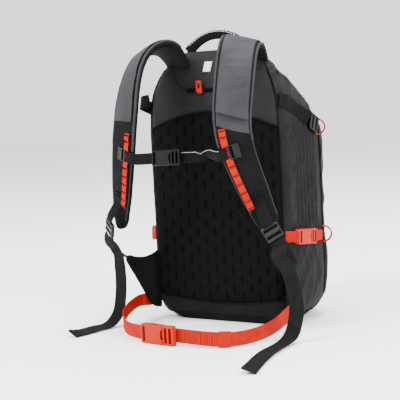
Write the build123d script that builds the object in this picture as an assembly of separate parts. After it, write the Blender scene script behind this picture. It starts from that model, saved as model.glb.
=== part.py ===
from build123d import *
import math
import os

# Avalanche airbag backpack, millimetres. +Z is up, the wearer's side faces -Y and the
# origin is the centre of the flat base. "left" and "right" are -X and +X.

# ------------------------------------------------------------------ driving dimensions
WEBBING = 25.0  # width of the belt, tail and side webbing
STERNUM_WEBBING = 20.0
WEBBING_THICKNESS = 1.6
GAP = 0.5  # running clearance between bodies
FABRIC = 3.0  # lined shell fabric
PAD_THICKNESS = 14.0  # foam back pad
HEIGHT = 500.0  # top edge of the yoke panel

BASE_HEIGHT = 14.0  # bottom panel
BACK_FACE = -76.0  # the back pad, yoke and band lie behind this plane
FRONT_FACE = 42.0  # the front pocket lies beyond this plane
FRONT_BASE_HEIGHT = 150.0
BAND_MIDDLE, BAND_EDGE = 38.0, 52.0  # bottom seam of the back pad, at x = 0 and ARCH_SPAN
ARCH_MIDDLE, ARCH_EDGE = 390.0, 352.0  # top seam of the back pad
ARCH_SPAN = 150.0
YOKE_ZIP_HEIGHT = 429.0

SHOULDER_THICKNESS = 13.0
SHOULDER_WIDTHS = [68, 68, 67, 65, 59, 51, 37]  # from the yoke down to the tip
RIGHT_TURNS = [30, 30, 30, 30, 32, 38, 45]  # degrees that each face turns outward
LEFT_TURNS = [30, 30, 28, 20, 17, 18, 22]
SHOULDER_DROPS = [0.22, 0.26, 0.16, 0, 0, 0, 0]  # how far the outer edge falls, per length
RIGHT_SHOULDER = [
    (74, -58, 458),
    (78, -72, 486),
    (84, -92, 505),
    (92, -118, 509),
    (102, -147, 497),
    (110, -173, 464),
    (113, -191, 415),
    (114, -198, 365),
    (121, -193, 318),
    (134, -180, 266),
    (147, -166, 218),
    (156, -156, 184),
]
LEFT_SHOULDER = [  # as the right one, before it is mirrored, because the straps hang unevenly
    (74, -58, 458),
    (78, -72, 486),
    (83, -92, 505),
    (89, -118, 509),
    (97, -147, 497),
    (103, -173, 464),
    (106, -191, 415),
    (110, -198, 365),
    (121, -193, 318),
    (137, -180, 266),
    (152, -167, 218),
    (162, -159, 184),
]

# height, back half width, front half width, back y, front y, back radius, front radius
BODY_SECTIONS = [
    (0, 126, 112, -70, 70, 40, 60),
    (18, 139, 136, -82, 88, 34, 70),
    (40, 143, 159, -86, 98, 30, 76),
    (62, 143, 166, -86, 102, 28, 80),
    (95, 143, 169, -86, 104, 28, 80),
    (140, 143, 166, -86, 104, 28, 80),
    (225, 143, 165, -86, 104, 28, 80),
    (310, 143, 166, -86, 104, 28, 80),
    (350, 143, 164, -86, 102, 28, 80),
    (370, 142, 159, -86, 96, 28, 80),
    (390, 142, 147, -86, 83, 28, 80),
    (410, 141, 135, -86, 63, 28, 78),
    (430, 138, 125, -84, 39, 28, 72),
    (450, 129, 116, -80, 11, 26, 52),
    (470, 115, 101, -72, -20, 16, 26),
    (486, 94, 86, -63, -36, 9, 13),
    (HEIGHT, 68, 66, -54, -42, 4, 5),
]

PARTS = {}


def keep(name, shape):
    """Files a shape under the node name that it is written as."""
    PARTS[name] = shape


def both_sides(name, shape):
    """Files a right-hand shape and its mirror image."""
    keep(name + "_right", shape)
    keep(name + "_left", mirror(shape, about=Plane.YZ))


# --------------------------------------------------------------------------- helpers
def block(x, y, z):
    """A box from its low and high coordinates along each axis."""
    return Pos((x[0] + x[1]) / 2, (y[0] + y[1]) / 2, (z[0] + z[1]) / 2) * Box(
        x[1] - x[0], y[1] - y[0], z[1] - z[0]
    )


def rounded_block(x, y, z, radius):
    """The same box with its upright edges rounded."""
    shape = block(x, y, z)
    return fillet(shape.edges().filter_by(Axis.Z), radius)


def spread(values, t):
    """The value at t, from 0 to 1, in an evenly spaced list."""
    place = t * (len(values) - 1)
    index = min(int(place), len(values) - 2)
    part = place - index
    return values[index] * (1 - part) + values[index + 1] * part


def level(degrees):
    """A level direction, turned from +X towards +Y."""
    angle = math.radians(degrees)
    return Vector(math.cos(angle), math.sin(angle), 0)


def stations(path, across, count):
    """Planes along a smooth curve: x across the strip, y out of its face, z along it."""
    curve = Spline(*[Vector(*point) for point in path])
    planes = []
    for index in range(count):
        t = index / (count - 1)
        along = (curve % t).normalized()
        side = spread(across, t)
        side = (side - along * side.dot(along)).normalized()
        planes.append(Plane(origin=curve @ t, x_dir=side, z_dir=along))
    return planes


def strip(planes, widths, thickness, lift=0.0, shift=0.0):
    """A flat strap through the planes, lifted off them and shifted across them."""
    sections = []
    for index, plane in enumerate(planes):
        width = spread(widths, index / (len(planes) - 1))
        sections.append(plane * Pos(shift, lift) * Rectangle(width, thickness))
    return loft(sections, ruled=True)


def webbing(path, across, count=16, width=WEBBING, thickness=WEBBING_THICKNESS):
    """Plain webbing along a curve."""
    return strip(stations(path, across, count), [width, width], thickness)


def frame_at(origin, along, out):
    """A plane with x along a strap and z out of its face."""
    along = Vector(*along).normalized()
    out = Vector(*out)
    out = (out - along * out.dot(along)).normalized()
    return Plane(origin=origin, x_dir=along, z_dir=out)


# ------------------------------------------------------------------------------ body
def body_section(row, inset, back_inset):
    """One level of the bag, inset for the inside surface."""
    height, back, front, y_back, y_front, back_radius, front_radius = row
    y_back += back_inset
    y_front -= inset
    outline = Polyline(
        (-back + inset, y_back),
        (back - inset, y_back),
        (front - inset, y_front),
        (-front + inset, y_front),
        close=True,
    )
    face = make_face(outline)
    corners = face.vertices().sort_by(Axis.Y)
    face = fillet(corners[:2], max(back_radius - inset, 1.0))
    corners = [v for v in face.vertices() if abs(v.Y - y_front) < 0.01]
    face = fillet(corners, max(front_radius - inset, 1.0))
    return Pos(0, 0, height) * face


def bag_solid():
    """The whole outside of the bag as one solid."""
    return loft([body_section(row, 0.0, 0.0) for row in BODY_SECTIONS], ruled=True)


def bag_inside():
    """The space inside, behind the foam back pad."""
    rows = [row for row in BODY_SECTIONS if row[0] <= 450]
    rows[0] = (FABRIC,) + rows[0][1:]
    return loft([body_section(row, FABRIC, PAD_THICKNESS) for row in rows], ruled=True)


def below_arch(middle, edge):
    """Everything under an arch that runs across the back, extruded through the bag."""
    arch = ThreePointArc((-ARCH_SPAN, edge), (0, middle), (ARCH_SPAN, edge))
    sides = Polyline((ARCH_SPAN, edge), (ARCH_SPAN + 60, edge), (ARCH_SPAN + 60, -20))
    base = Polyline(
        (ARCH_SPAN + 60, -20), (-ARCH_SPAN - 60, -20), (-ARCH_SPAN - 60, edge), (-ARCH_SPAN, edge)
    )
    face = make_face([arch, sides, base])
    return extrude(Plane.XZ * face, amount=200, both=True)


def above_top_seam():
    """Everything over the sloping seam of the top cover."""
    face = make_face(
        Polyline((-120, 428), (140, 338), (140, 560), (-120, 560), close=True)
    )
    return extrude(Plane.YZ * face, amount=220, both=True)


def make_body():
    """The sewn panels of the bag, cut from one shell so that their seams meet."""
    outside = bag_solid()
    shell = outside - bag_inside()
    huge = 400
    back = shell & block((-huge, huge), (-huge, BACK_FACE), (-huge, 700))
    upper_back = shell & block((-huge, huge), (-huge, 40), (YOKE_ZIP_HEIGHT, 700))
    upper_back = upper_back - above_yoke_front()
    rest = shell - block((-huge, huge), (-huge, BACK_FACE), (-huge, 700)) - upper_back
    back = back + upper_back

    under_band = below_arch(BAND_MIDDLE, BAND_EDGE)
    under_arch = below_arch(ARCH_MIDDLE, ARCH_EDGE)
    keep("back_band", back & under_band)
    keep("back_pad", (back & under_arch) - under_band)
    keep("yoke_panel", back - under_arch)

    top = rest & above_top_seam()
    rest = rest - above_top_seam()
    keep("top_cover", top)
    keep("bottom_panel", rest & block((-huge, huge), (-huge, huge), (-huge, BASE_HEIGHT)))
    walls = rest & block((-huge, huge), (-huge, huge), (BASE_HEIGHT, 700))
    front = walls & block((-huge, huge), (FRONT_FACE, huge), (-huge, 700))
    low = block((-huge, huge), (-huge, huge), (-huge, FRONT_BASE_HEIGHT))
    keep("front_base", front & low)
    keep("front_pocket", front - low)
    sides = walls & block((-huge, huge), (-huge, FRONT_FACE), (-huge, 700))
    both_sides("side_panel", sides & block((0, huge), (-huge, huge), (-huge, 700)))
    return outside


def above_yoke_front():
    """The part of the bag's top that lies in front of the sloping yoke panel."""
    face = make_face(
        Polyline((-69, 400), (-69, 440), (-49, 480), (-45, 520), (60, 520), (60, 400), close=True)
    )
    return extrude(Plane.YZ * face, amount=220, both=True)


# ------------------------------------------------------------------- shoulder harness
def shoulder_planes(path, turns):
    """Stations down a pad, turned outward and dropping towards the shoulder's end."""
    across = []
    for turn, drop in zip(turns, SHOULDER_DROPS):
        across.append(level(turn) - Vector(0, 0, drop))
    return stations(path, across, 37)


RIGHT_PLANES = shoulder_planes(RIGHT_SHOULDER, RIGHT_TURNS)
LEFT_PLANES = shoulder_planes(LEFT_SHOULDER, LEFT_TURNS)
SIDES = [("right", RIGHT_PLANES), ("left", LEFT_PLANES)]
COVER_LIFT = SHOULDER_THICKNESS / 2 + 0.05
COVER = 1.2  # cloth of the pad covers
POCKET_HEIGHT = 11.0  # room under the right cover for the trigger handle
ANCHOR_STATION = 24  # where the sternum strap is clipped to each pad


def keep_side(name, side, shape):
    """Files a shape modelled on the right, mirrored when it is for the left."""
    if side == "left":
        shape = mirror(shape, about=Plane.YZ)
    keep(f"{name}_{side}", shape)


def pad_point(plane, across, out):
    """A point over a pad's outer face."""
    return plane.origin + plane.x_dir * across + plane.y_dir * (SHOULDER_THICKNESS / 2 + out)


def make_shoulders(outside):
    """Foam pads and the daisy chain sewn down each of them."""
    for side, planes in SIDES:
        pad = strip(planes, SHOULDER_WIDTHS, SHOULDER_THICKNESS) - outside
        keep_side("shoulder_pad", side, pad.solids().sort_by(Axis.Y)[0])
        chain = strip(planes[26:33], [12, 11], 1.4, COVER_LIFT + 1.4, -17.0)
        short = strip(planes[21:24], [12, 12], 1.4, COVER_LIFT + 1.4, -19.0)
        keep_side("daisy_chain", side, Compound([chain, short]))


def make_covers():
    """The plain left cover and the right one, whose lower half is the handle's pocket."""
    plain = strip(LEFT_PLANES[5:21], [58, 58], COVER, COVER_LIFT + COVER / 2)
    keep_side("pad_cover", "left", plain)
    flat = strip(RIGHT_PLANES[5:12], [58, 58], COVER, COVER_LIFT + COVER / 2)
    height = POCKET_HEIGHT + 1.4
    sleeve = strip(RIGHT_PLANES[11:21], [58, 56], height, COVER_LIFT + height / 2)
    middle = COVER_LIFT + POCKET_HEIGHT / 2 - 0.02
    hollow = strip(RIGHT_PLANES[12:23], [52, 50], POCKET_HEIGHT, middle)
    keep("pad_cover_right", flat + (sleeve - hollow))


def ladder_lock_shape():
    """A ladder lock: x across the strap, y up the strap, z out of its face."""
    shape = block((-15.5, 15.5), (-13.5, 13.5), (-3, 3))
    shape = fillet(shape.edges().filter_by(Axis.Z), 3)
    slots = [block((-12.8, 12.8), (3.5, 9), (-5, 5)), block((-12.8, 12.8), (-9, -3.5), (-5, 5))]
    for slot in slots:
        shape = shape - slot
    return chamfer(shape.edges().group_by(Axis.Z)[-1], 0.8)


LADDER_CENTRE = Vector(171, -181, 187)
LADDER_ACROSS = Vector(0.75, 0.45, 0.48)
LADDER_OUT = Vector(0.55, -0.83, -0.08)
LADDER_HALF = 13.5
LADDER_PLANE = Plane(origin=LADDER_CENTRE, x_dir=LADDER_ACROSS, z_dir=LADDER_OUT)
FIN_TIP = Vector(176.8, -131.2, 124)


def below_ladder(down, out):
    """A point under the right ladder lock, measured in its own plane."""
    return LADDER_CENTRE - LADDER_PLANE.y_dir * (LADDER_HALF + down) + LADDER_PLANE.z_dir * out


def points(*vectors):
    """Plain coordinates of some vectors."""
    return [(v.X, v.Y, v.Z) for v in vectors]


def mirrored(vector):
    """The same point on the left."""
    return Vector(-vector.X, vector.Y, vector.Z)


def make_ladder_locks():
    """Ladder locks, the webbing tabs that carry them and the webbing below them."""
    both_sides("ladder_lock", LADDER_PLANE * ladder_lock_shape())
    across = LADDER_PLANE.x_dir
    top = LADDER_CENTRE + LADDER_PLANE.y_dir * (LADDER_HALF + 1.4)
    for side, pads in SIDES:
        planes = []
        for pad in pads[30:33]:
            origin = pad_point(pad, 0, 1.4)
            planes.append(Plane(origin=origin, x_dir=pad.x_dir, z_dir=pad.z_dir))
        planes.append(Plane(origin=top, x_dir=across, z_dir=-LADDER_PLANE.y_dir))
        keep_side("ladder_tab", side, strip(planes, [20, 20], WEBBING_THICKNESS))

    path = points(below_ladder(1, -2.4), below_ladder(8, -3.5), FIN_TIP)
    both_sides("lower_webbing", webbing(path, [across, level(15)], 8))


LEFT_TAIL = [
    (-158, -184, 146),
    (-154, -180, 116),
    (-155, -178, 86),
    (-160, -177, 50),
    (-170, -179, 20),
    (-178, -191, 4),
    (-183, -215, 1.6),
    (-187, -245, 1.4),
    (-194, -278, 1.4),
]
RIGHT_TAIL = [
    (182, -183, 148),
    (191, -176, 128),
    (200, -172, 98),
    (205, -171, 65),
    (204, -174, 38),
    (200, -185, 14),
    (198, -208, 2.4),
    (202, -260, 1.4),
    (215, -322, 1.4),
    (234, -388, 1.4),
]


def make_tails():
    """The free ends of the shoulder webbing, hanging and then lying on the floor."""
    across = LADDER_PLANE.x_dir
    start = [below_ladder(3.5, 2.4), below_ladder(9, 3.8)]
    left = points(*[mirrored(v) for v in start]) + LEFT_TAIL
    first = -mirrored(across)
    facing = [first, Vector(1, 0, -0.1), level(0), level(-4), level(-14)]
    keep("strap_tail_left", webbing(left, facing, 30))
    right = points(*start) + RIGHT_TAIL
    facing = [across, Vector(0.86, 0.5, 0.1), level(28), level(14), level(20)]
    keep("strap_tail_right", webbing(right, facing, 32))


# -------------------------------------------------------------------- release buckles
def socket_shape(width):
    """Socket half of a side-release buckle, for webbing of a width. x is the pull."""
    s = width / 25
    shape = block((-42 * s, 6 * s), (-17 * s, 17 * s), (-6 * s, 6 * s))
    shape = fillet(shape.edges().filter_by(Axis.Z), 4 * s)
    shape = chamfer(shape.edges().group_by(Axis.Z)[-1], 1.2 * s)
    shape = shape - block((-37.5 * s, -31.5 * s), (-13.3 * s, 13.3 * s), (-9, 9))
    shape = shape - block((-27 * s, 7 * s), (-13 * s, 13 * s), (-3.6 * s, 3.6 * s))
    shape = shape - block((-20 * s, -6 * s), (-20 * s, 20 * s), (-3.6 * s, 3.6 * s))
    mouth = Pos(17 * s, 0, 0) * Cylinder(15 * s, 30)
    return shape - mouth


def plug_shape(width):
    """Plug half: flange, two sprung arms, a guide and the webbing frame."""
    s = width / 25
    shape = block((6.6 * s, 30 * s), (-17 * s, 17 * s), (-4.6 * s, 5.6 * s))
    shape = fillet(shape.edges().filter_by(Axis.Z), 2.5 * s)
    shape = chamfer(shape.edges().group_by(Axis.Z)[-1], 1.0 * s)
    shape = shape - block((11 * s, 16.5 * s), (-13.3 * s, 13.3 * s), (-9, 9))
    shape = shape - block((20.5 * s, 26.5 * s), (-13.3 * s, 13.3 * s), (-9, 9))
    shape = shape + block((-22 * s, 7 * s), (-3 * s, 3 * s), (-2.8 * s, 2.8 * s))
    for sign in (-1, 1):
        edges = sorted((sign * 8.4 * s, sign * 12.2 * s))
        shape = shape + block((-19 * s, 7 * s), edges, (-2.8 * s, 2.8 * s))
    return shape


def place_buckle(name, plane, width, sides=False):
    """Writes both halves of a buckle at a plane, or a mirrored pair of buckles."""
    file = both_sides if sides else keep
    file(name + "_socket", plane * socket_shape(width))
    file(name + "_plug", plane * plug_shape(width))


BEHIND_BUCKLE = 8.2  # from a buckle's middle plane to the webbing that runs behind it


# ---------------------------------------------------------------------- sternum strap
STERNUM_PLANE = frame_at((-14, -205, 316), (1, 0.02, 0.03), (0, -1, 0.1))


def make_sternum_strap():
    """The chest strap between the pads: webbing on each side of one buckle."""
    place_buckle("sternum", STERNUM_PLANE, STERNUM_WEBBING)
    s = STERNUM_WEBBING / 25
    socket_end = STERNUM_PLANE.origin - STERNUM_PLANE.x_dir * (43.6 * s)
    upright, flat = Vector(0, 0.1, 1), Vector(0, -0.9, 0.45)
    pad = LEFT_PLANES[ANCHOR_STATION]
    near = socket_end - STERNUM_PLANE.x_dir * 9
    begin = [mirrored(pad_point(pad, -17.5, 1.8)), mirrored(pad_point(pad, -30, 2.4))]
    path = points(*begin, near, socket_end)
    across = [mirrored(-pad.z_dir), upright, upright]
    keep("sternum_webbing_left", webbing(path, across, 12, STERNUM_WEBBING))
    behind = STERNUM_PLANE.z_dir * (BEHIND_BUCKLE * s)
    start = STERNUM_PLANE.origin + STERNUM_PLANE.x_dir * 8 - behind
    middle = STERNUM_PLANE.origin + STERNUM_PLANE.x_dir * 30 - behind
    bend = STERNUM_PLANE.origin + STERNUM_PLANE.x_dir * 52 - behind
    pad = RIGHT_PLANES[ANCHOR_STATION]
    end = [pad_point(pad, -30, 2.4), pad_point(pad, -17.5, 1.8)]
    path = points(start, middle, bend, Vector(76, -208, 321), *end)
    across = [upright, upright, upright, flat, -pad.z_dir, -pad.z_dir, -pad.z_dir]
    keep("sternum_webbing_right", webbing(path, across, 14, STERNUM_WEBBING))
    clips = []
    for side, planes in SIDES:
        pad = planes[ANCHOR_STATION]
        clip = Plane(origin=pad_point(pad, -6, 2.4), x_dir=pad.x_dir, z_dir=pad.y_dir)
        body = clip * (Box(20, 24, 3.6) - Pos(-4, 0, 0) * Box(5, 20.6, 9))
        clips.append(body if side == "right" else mirror(body, about=Plane.YZ))
    keep("sternum_anchors", Compound([clips[0].solid(), clips[1].solid()]))


# --------------------------------------------------------------------------- hip belt
def fin_shape():
    """One padded hip fin, flat, in the plane that leaves the bag's edge."""
    corners = [(-16, 134), (26, 117), (59, 128), (61, 117), (29, 50), (18, 17), (-16, 13)]
    return extrude(make_face(Polyline(*corners, close=True)), amount=4, both=True)


HIP_PLANE = frame_at((-6, -270, 17.6), (1, -0.10, 0), (0, -1, 0))


def make_hip_belt(outside):
    """Fins, and the belt that lies on the floor in a closed loop."""
    spread_out = Vector(0.584, -0.811, 0)
    fin_plane = Plane(origin=(140, -80, 0), x_dir=spread_out, z_dir=spread_out.cross(Vector(0, 0, 1)))
    fin = fin_plane * fin_shape() - outside
    fin = fin.solids().sort_by(SortBy.VOLUME)[-1]
    both_sides("hip_fin", fin)

    place_buckle("hip", HIP_PLANE, WEBBING)
    socket_end = HIP_PLANE.origin - HIP_PLANE.x_dir * 43.6
    lean = [Vector(0.25, 0.1, 1), Vector(0.2, -0.3, 1), Vector(0, 0, 1), Vector(0, 0, 1)]
    path = [
        (-160, -106, 38),
        (-156, -135, 38),
        (-144, -180, 32),
        (-130, -211, 23),
        (-106, -233, 15.5),
        (-78, -249, 15),
        tuple(socket_end),
    ]
    keep("hip_webbing_left", webbing(path, lean, 20))
    start = HIP_PLANE.origin + HIP_PLANE.x_dir * 10 - HIP_PLANE.z_dir * BEHIND_BUCKLE
    straight = HIP_PLANE.origin + HIP_PLANE.x_dir * 66 - HIP_PLANE.z_dir * BEHIND_BUCKLE
    path = [
        tuple(start),
        tuple((start + straight) * 0.5),
        tuple(straight),
        (112, -250, 14),
        (140, -215, 14.5),
        (154, -165, 20),
        (157, -130, 28),
        (158, -106, 36),
    ]
    lean = [Vector(0, 0, 1), Vector(0, 0, 1), Vector(0, 0, 1), Vector(-0.1, 0.1, 1)]
    planes = stations(path, lean, 33)
    keep("hip_webbing_right", strip(planes, [WEBBING, WEBBING], WEBBING_THICKNESS))
    sleeve = strip(planes[12:15], [27.6, 27.6], 4.6) - strip(planes[11:16], [25.4, 25.4], 2.2)
    keep("hip_keeper", sleeve)


# ------------------------------------------------------------------- side compression
SIDE_WEBBING = 20.0
SIDE_PLANE = frame_at((159.4, -31, 158.5), (0.115, 0.993, -0.10), (0.993, -0.115, 0))
UPPER_LOCK_PLANE = frame_at((160.0, 9, 360), (0.1, 1, -0.55), (0.97, 0.20, -0.04))


def make_side_straps(outside):
    """Low red straps with release buckles, high straps with ladder locks, ski loops."""
    place_buckle("side", SIDE_PLANE, SIDE_WEBBING, sides=True)
    s = SIDE_WEBBING / 25
    upright = [Vector(0, 0, 1)] * 2
    socket_end = SIDE_PLANE.origin - SIDE_PLANE.x_dir * (43.6 * s)
    path = [(140, -79, 163.5), (147.5, -73, 163), tuple(socket_end)]
    rear = webbing(path, upright, 8, SIDE_WEBBING) - outside
    start = SIDE_PLANE.origin + SIDE_PLANE.x_dir * 8 - SIDE_PLANE.z_dir * 5.8
    path = [tuple(start), (157.0, 0, 155.6), (157.6, 18, 153.6), (152, 38, 152)]
    front = webbing(path, upright, 8, SIDE_WEBBING) - outside
    both_sides("side_webbing", Compound([biggest(rear), biggest(front)]))
    low = Plane(origin=(160.5, 31, 155), x_dir=(0.86, 0.51, 0), z_dir=(0.51, -0.86, 0))
    both_loops("lower_ski_loops", low, 8, outside)

    lean = [Vector(0, 0.3, 1), Vector(0.05, 0.3, 1)]
    path = [(138, -76, 406), (143.8, -56, 400), (145, -38, 390), (152, -18, 378), (158.2, -9, 371)]
    keep("upper_webbing_right", biggest(webbing(path, lean, 14) - outside))
    fold = [(-136, -80, 414), (-150, -88, 412), (-157, -79, 410), (-153, -54, 400)]
    slack = fold + [(-153, -30, 388), (-158.2, -9, 371)]
    keep("upper_webbing_left", biggest(webbing(slack, lean, 22) - outside))
    both_sides("upper_buckle", UPPER_LOCK_PLANE * Rot(0, 0, -90) * ladder_lock_shape())
    high = Plane(origin=(157, 28, 352), x_dir=(0.86, 0.51, 0), z_dir=(0.51, -0.86, 0.2))
    both_loops("upper_ski_loops", high, 5, outside)


def biggest(shape):
    """The largest solid of a shape, without the crumbs that a cut leaves."""
    return shape.solids().sort_by(SortBy.VOLUME)[-1]


def both_loops(name, plane, width, outside):
    """A pair of ski loops: bands that stand out of the sides in a half round."""
    band = Circle(15) - Circle(13) - Pos(-12, 0) * Rectangle(24, 40)
    solid = extrude(band, amount=width / 2, both=True)
    loop = biggest(plane * solid - outside)
    keep(name, Compound([loop, mirror(loop, about=Plane.YZ)]))


# --------------------------------------------------------------------- small hardware
def make_handle_and_patch():
    """The haul handle over the top edge and the blank patch on the yoke."""
    outer = ThreePointArc((-74, 0), (0, 37), (74, 0))
    inner = ThreePointArc((52, 0), (0, 19), (-52, 0))
    ends = [Line((74, 0), (52, 0)), Line((-52, 0), (-74, 0))]
    band = make_face([outer, inner] + ends)
    handle = extrude(Plane.XZ * band, amount=3, both=True)
    keep("haul_handle", Pos(0, -48, HEIGHT + GAP + 0.5) * handle)
    patch = Plane(origin=(-8, -73.4, 471), x_dir=(1, 0, 0), z_dir=(0, -0.9, 0.42))
    keep("name_patch", patch * Box(16, 20, 1))


def make_zips():
    """The zip across the yoke and the one across the front pocket, with sliders."""
    z = YOKE_ZIP_HEIGHT
    keep("yoke_zip", block((-49, 49), (-86.6, -85.0), (z - 4, z + 4)))
    body = rounded_block((-23, -13), (-90.4, -87.1), (z - 5, z + 5), 1.2)
    pull = Pos(-18, -91.3, z + 8) * (Box(11, 2, 20) - Box(5, 9, 11))
    keep("yoke_zip_slider", body + pull)
    keep("pocket_zip", block((-66, 66), (104.6, 106.2), (296, 304)))
    body = rounded_block((-64, -54), (106.7, 110), (295, 305), 1.2)
    pull = Pos(-59, 110.9, 288) * (Box(10, 2, 24) - Box(4, 9, 14))
    keep("pocket_zip_slider", body + pull)


# --------------------------------------------------------------------- airbag system
CYLINDER_RADIUS = 26.0
CYLINDER_AXIS = (-66.0, -12.0)
INFLATOR_BASE = 268.0


def make_airbag_system():
    """Frame sheet, folded airbag, gas cylinder, inflator, lever, cable and handle."""
    sheet = rounded_block((-104, 104), (-71.2, -68.8), (44, 400), 1)
    keep("frame_sheet", sheet)
    airbag = fillet(block((-84, 84), (-58, 6), (376, 424)).edges(), 14)
    keep("airbag", airbag)

    x, y = CYLINDER_AXIS
    base, top = 46, 232
    bottle = Pos(x, y, (base + top) / 2) * Cylinder(CYLINDER_RADIUS, top - base)
    bottle = fillet(bottle.edges().group_by(Axis.Z)[0], 8)
    bottle = fillet(bottle.edges().group_by(Axis.Z)[-1], 16)
    neck = Pos(x, y, (top + INFLATOR_BASE) / 2) * Cylinder(9, INFLATOR_BASE - top + 4)
    keep("gas_cylinder", bottle + neck - Pos(x, y, INFLATOR_BASE + 20) * Box(80, 80, 40))

    inflator = rounded_block((x - 26, x + 26), (y - 22, y + 22), (INFLATOR_BASE, 322), 8)
    outlet = Pos(x, y, 349) * (Cylinder(15, 54) - Cylinder(12, 60))
    lugs = block((x + 26, x + 40), (y - 9, y - 5), (288, 304))
    lugs = lugs + block((x + 26, x + 40), (y + 5, y + 9), (288, 304))
    keep("inflator", inflator + outlet + lugs)
    pin = Pos(x + 34, y, 296) * Rot(90, 0, 0) * Cylinder(2, 9)
    arm = block((x + 30, x + 72), (y - 3, y + 3), (293, 299))
    keep("firing_lever", arm + pin)


HANDLE_LENGTH = 46.0
HANDLE_THICKNESS = 4.5


def handle_plane():
    """The trigger handle's plane: z is its line of travel, down the right pad's face."""
    middle, low = RIGHT_PLANES[16], RIGHT_PLANES[20]
    along = (low.origin - middle.origin).normalized()
    across = (middle.x_dir - along * middle.x_dir.dot(along)).normalized()
    lift = SHOULDER_THICKNESS / 2 + 2.0 + HANDLE_THICKNESS / 2
    return Plane(origin=middle.origin + along.cross(across) * lift, x_dir=across, z_dir=along)


def make_trigger():
    """The stowed handle and the two lengths of cable, in the bag and in the pocket."""
    grip = fillet(Box(24, HANDLE_THICKNESS, HANDLE_LENGTH).edges().filter_by(Axis.Z), 2)
    grip = grip - Pos(0, 0, 12) * Box(14, 9, 8)
    keep("trigger_handle", handle_plane() * grip)
    start, corner, end = (4, -12, 316), (4, -12, 348), (98, -52, 372)
    route = FilletPolyline(start, corner, end, radius=20)
    inner = sweep(Plane(origin=start, z_dir=(0, 0, 1)) * Circle(2), path=route)
    planes = RIGHT_PLANES[12:14]
    sections = [plane * Pos(0, COVER_LIFT + 4.5) * Circle(2) for plane in planes]
    keep("trigger_cable", Compound([inner, loft(sections, ruled=True)]))


# ------------------------------------------------------------------------------ build
def main():
    outside = make_body()
    make_shoulders(outside)
    make_covers()
    make_ladder_locks()
    make_tails()
    make_sternum_strap()
    make_hip_belt(outside)
    make_side_straps(outside)
    make_handle_and_patch()
    make_zips()
    make_airbag_system()
    make_trigger()
    os.makedirs("parts", exist_ok=True)
    for name, shape in PARTS.items():
        export_step(shape, f"parts/{name}.step")


main()
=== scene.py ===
"""Looks of the avalanche airbag backpack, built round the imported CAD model."""

import math

import bpy
import numpy as np
from mathutils import Matrix, Vector, noise


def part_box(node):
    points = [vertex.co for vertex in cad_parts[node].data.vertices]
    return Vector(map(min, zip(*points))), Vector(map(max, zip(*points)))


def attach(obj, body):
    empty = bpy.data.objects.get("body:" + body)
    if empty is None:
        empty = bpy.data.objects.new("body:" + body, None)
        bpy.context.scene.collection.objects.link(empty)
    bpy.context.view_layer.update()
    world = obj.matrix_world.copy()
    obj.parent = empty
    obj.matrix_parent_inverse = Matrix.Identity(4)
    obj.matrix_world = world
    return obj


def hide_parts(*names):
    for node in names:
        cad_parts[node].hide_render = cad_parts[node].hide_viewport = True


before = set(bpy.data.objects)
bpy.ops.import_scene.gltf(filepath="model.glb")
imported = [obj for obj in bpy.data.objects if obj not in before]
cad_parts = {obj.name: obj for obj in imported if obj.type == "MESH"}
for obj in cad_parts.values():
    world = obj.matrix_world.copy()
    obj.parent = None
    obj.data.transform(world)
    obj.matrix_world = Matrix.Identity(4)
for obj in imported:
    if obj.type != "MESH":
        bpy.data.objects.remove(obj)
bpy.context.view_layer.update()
MM = 0.001
HOLE_ACROSS, HOLE_UP = 36.0, 34.0  # spacing of the mesh's long openings


# ---------- vectors
def vec(*v):
    """A numpy vector."""
    return np.array(v, float)


UP = vec(0, 0, 1)


def unit(v):
    """The vector at length 1."""
    return v / np.linalg.norm(v)


def mirrored(v):
    """The same points on the other side of the bag."""
    return np.asarray(v, float) * vec(-1, 1, 1)


def lumps(p, scale, seed=0.0):
    """Smooth noise, about -1 to 1, at a point in mm."""
    return noise.noise(Vector((p[0] / scale, p[1] / scale + seed, p[2] / scale)))


def creases(p, along, long, short, seed):
    """Noise stretched along a direction, which looks like creases in cloth."""
    p = np.asarray(p, float)
    a = unit(vec(*along))
    k = float(p @ a)
    q = (p - a * k) / short + a * k / long
    n = noise.noise(Vector(q + seed))
    return 1 - 2 * min(1.0, abs(n) * 2.6)


# ---------- curves
def run_lengths(points):
    """The distance along a line of points to each of them."""
    steps = np.linalg.norm(np.diff(points, axis=0), axis=1)
    return np.concatenate([[0], np.cumsum(steps)])


def smoothed(values, times):
    """Values evened out with their neighbours, with both ends kept."""
    for _ in range(times):
        values[1:-1] = (values[:-2] + values[1:-1] * 2 + values[2:]) / 4
    return values


def spline(points, count):
    """A smooth curve through the points, as count places and directions."""
    p = np.array(points, float)
    t = run_lengths(p)
    n, h = len(p), np.diff(t)
    a, b = np.zeros((n, n)), np.zeros((n, 3))
    a[0, 0] = a[-1, -1] = 1
    for i in range(1, n - 1):
        a[i, i - 1], a[i, i], a[i, i + 1] = h[i - 1], 2 * (h[i - 1] + h[i]), h[i]
        b[i] = 6 * ((p[i + 1] - p[i]) / h[i] - (p[i] - p[i - 1]) / h[i - 1])
    m = np.linalg.solve(a, b)
    places, ways = [], []
    for s in np.linspace(0, t[-1], count):
        i = min(int(np.searchsorted(t, s, side="right")) - 1, n - 2)
        u, v, w = (t[i + 1] - s), (s - t[i]), h[i]
        c1 = p[i] / w - m[i] * w / 6
        c2 = p[i + 1] / w - m[i + 1] * w / 6
        places.append(m[i] * u**3 / (6 * w) + m[i + 1] * v**3 / (6 * w) + c1 * u + c2 * v)
        ways.append(unit(m[i + 1] * v**2 / (2 * w) - m[i] * u**2 / (2 * w) - c1 + c2))
    return np.array(places), np.array(ways)


def spread(values, t):
    """The value at t, from 0 to 1, in an evenly spaced list."""
    values = np.array(values, float)
    place = t * (len(values) - 1)
    i = min(int(place), len(values) - 2)
    return values[i] * (1 - place + i) + values[i + 1] * (place - i)


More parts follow.
